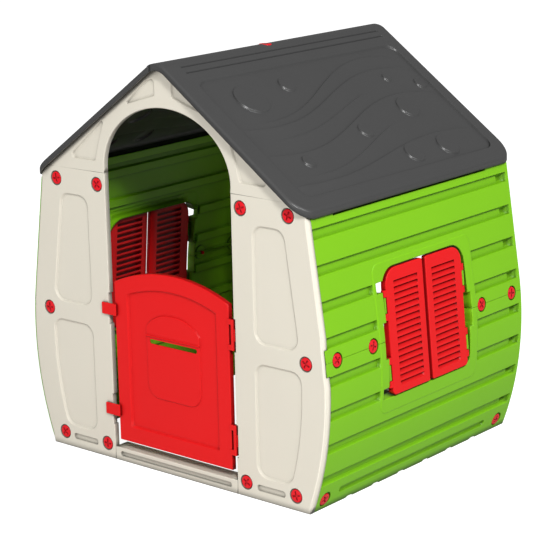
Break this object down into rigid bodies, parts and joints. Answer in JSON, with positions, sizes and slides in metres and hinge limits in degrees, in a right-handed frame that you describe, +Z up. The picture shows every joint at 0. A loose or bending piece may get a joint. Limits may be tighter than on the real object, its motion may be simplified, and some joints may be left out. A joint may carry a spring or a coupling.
{
  "type": "plastic playhouse",
  "caption": "Free-standing child's garden playhouse of moulded plastic panels with barrel-shaped planked sides, a ridge roof, a half door and louvred window shutters.",
  "frame": {"origin": "on the floor at the centre of the footprint", "axes": "+X to the right along the front wall, +Y into the house so that the front with the door faces -Y, +Z up"},
  "size_m": [1.0318, 0.912, 1.0903],
  "materials": {
    "beige_plastic": "satin moulded polypropylene, warm off-white",
    "green_plastic": "satin moulded polypropylene, lime green",
    "grey_plastic": "satin moulded polypropylene, dark grey",
    "door_red_plastic": "semi-gloss moulded polypropylene, red",
    "shutter_red_plastic": "semi-gloss moulded polypropylene, bright red",
    "screw_red_plastic": "semi-gloss moulded plastic, bright red"
  },
  "bodies": {
    "house": {"front_right_post": "beige_plastic", "front_left_post": "beige_plastic", "front_gable": "beige_plastic", "front_threshold": "beige_plastic", "rear_left_post": "beige_plastic", "rear_right_post": "beige_plastic", "rear_gable": "beige_plastic", "rear_threshold": "beige_plastic", "right_wall_upper": "green_plastic", "right_wall_lower": "green_plastic", "left_wall_upper": "green_plastic", "left_wall_lower": "green_plastic", "roof_right": "grey_plastic", "roof_left": "grey_plastic", "door_clip_lower": "door_red_plastic", "door_clip_upper": "door_red_plastic", "front_screw_left_top_outer": "screw_red_plastic", "rear_screw_left_top_outer": "screw_red_plastic", "front_screw_left_top_inner": "screw_red_plastic", "rear_screw_left_top_inner": "screw_red_plastic", "front_screw_left_middle": "screw_red_plastic", "rear_screw_left_middle": "screw_red_plastic", "front_screw_left_bottom_outer": "screw_red_plastic", "rear_screw_left_bottom_outer": "screw_red_plastic", "front_screw_left_bottom_inner": "screw_red_plastic", "rear_screw_left_bottom_inner": "screw_red_plastic", "front_screw_right_top_outer": "screw_red_plastic", "rear_screw_right_top_outer": "screw_red_plastic", "front_screw_right_top_inner": "screw_red_plastic", "rear_screw_right_top_inner": "screw_red_plastic", "front_screw_right_middle": "screw_red_plastic", "rear_screw_right_middle": "screw_red_plastic", "front_screw_right_bottom_outer": "screw_red_plastic", "rear_screw_right_bottom_outer": "screw_red_plastic", "front_screw_right_bottom_inner": "screw_red_plastic", "rear_screw_right_bottom_inner": "screw_red_plastic", "left_screw_front_outer": "screw_red_plastic", "left_screw_front_inner": "screw_red_plastic", "left_screw_rear_inner": "screw_red_plastic", "left_screw_rear_outer": "screw_red_plastic", "left_screw_front_bottom": "screw_red_plastic", "left_screw_rear_bottom": "screw_red_plastic", "right_screw_front_outer": "screw_red_plastic", "right_screw_front_inner": "screw_red_plastic", "right_screw_rear_inner": "screw_red_plastic", "right_screw_rear_outer": "screw_red_plastic", "right_screw_front_bottom": "screw_red_plastic", "right_screw_rear_bottom": "screw_red_plastic", "ridge_screw": "screw_red_plastic"},
    "door_leaf": {"door": "door_red_plastic"},
    "right_shutter_front_leaf": {"right_shutter_front": "shutter_red_plastic"},
    "right_shutter_rear_leaf": {"right_shutter_rear": "shutter_red_plastic"},
    "left_shutter_front_leaf": {"left_shutter_front": "shutter_red_plastic"},
    "left_shutter_rear_leaf": {"left_shutter_rear": "shutter_red_plastic"}
  },
  "joints": [
    {"name": "door_hinge", "type": "hinge", "parent": "house", "child": "door_leaf", "pos_m": [0.2095, -0.426, 0.2815], "axis": [0, 0, 1], "range_deg": [0, 110]},
    {"name": "right_shutter_rear_hinge", "type": "hinge", "parent": "house", "child": "right_shutter_rear_leaf", "pos_m": [0.49721, 0.171, 0.39748], "axis": [-0.0859, 0, 0.9963], "range_deg": [0, 100]},
    {"name": "right_shutter_front_hinge", "type": "hinge", "parent": "house", "child": "right_shutter_front_leaf", "pos_m": [0.49721, -0.171, 0.39748], "axis": [0.0859, 0, -0.9963], "range_deg": [0, 100]},
    {"name": "left_shutter_front_hinge", "type": "hinge", "parent": "house", "child": "left_shutter_front_leaf", "pos_m": [-0.49721, -0.171, 0.39748], "axis": [0.0859, 0, 0.9963], "range_deg": [0, 100]},
    {"name": "left_shutter_rear_hinge", "type": "hinge", "parent": "house", "child": "left_shutter_rear_leaf", "pos_m": [-0.49721, 0.171, 0.39748], "axis": [-0.0859, 0, -0.9963], "range_deg": [0, 100]}
  ]
}
